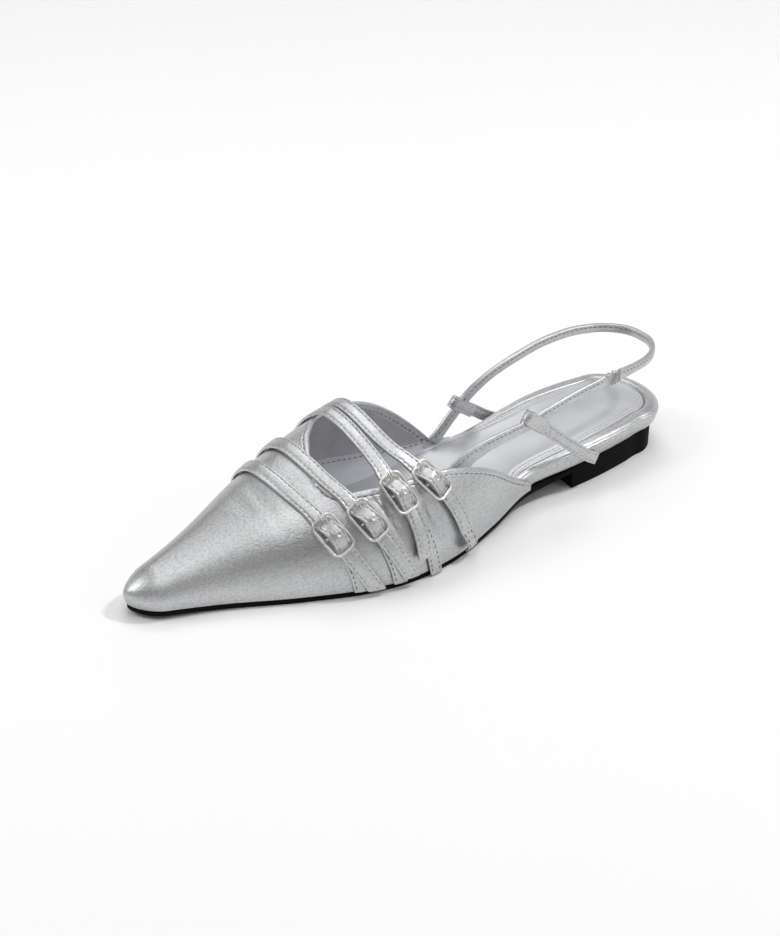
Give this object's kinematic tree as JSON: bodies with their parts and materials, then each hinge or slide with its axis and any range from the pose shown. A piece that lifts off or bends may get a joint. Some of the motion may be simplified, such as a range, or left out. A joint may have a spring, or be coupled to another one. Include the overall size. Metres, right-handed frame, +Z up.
{
  "type": "slingback shoe",
  "caption": "Left women's slingback flat in silver leather: long pointed toe, buckled straps across the open instep, thin heel strap held by side keepers, low black block heel.",
  "frame": {"origin": "middle of the bounding box's foot: the centre of the shoe's length and width, at the floor it stands on", "axes": "+X towards the toe along the shoe's length, +Y towards the lateral side where the buckles are, +Z up"},
  "size_m": [0.2706, 0.0884, 0.0566],
  "materials": {
    "foil_leather": "silver foil leather, fine grain, satin gloss",
    "lining_leather": "pale lavender-grey lining leather, satin",
    "black_rubber": "matt black",
    "nickel": "polished pale nickel plate"
  },
  "bodies": {
    "root": {"outsole": "black_rubber", "heel": "black_rubber", "footbed": "foil_leather", "insole": "lining_leather", "upper": "foil_leather", "strap_1": "foil_leather", "anchor_1": "foil_leather", "buckle_1": "nickel", "prong_1": "nickel", "strap_2": "foil_leather", "anchor_2": "foil_leather", "buckle_2": "nickel", "prong_2": "nickel", "strap_3": "foil_leather", "anchor_3": "foil_leather", "buckle_3": "nickel", "prong_3": "nickel", "strap_4": "foil_leather", "anchor_4": "foil_leather", "buckle_4": "nickel", "prong_4": "nickel", "sling_lateral": "foil_leather", "sling_elastic": "foil_leather", "sling_heel": "foil_leather", "keeper_lateral": "foil_leather", "keeper_medial": "foil_leather"}
  },
  "joints": []
}
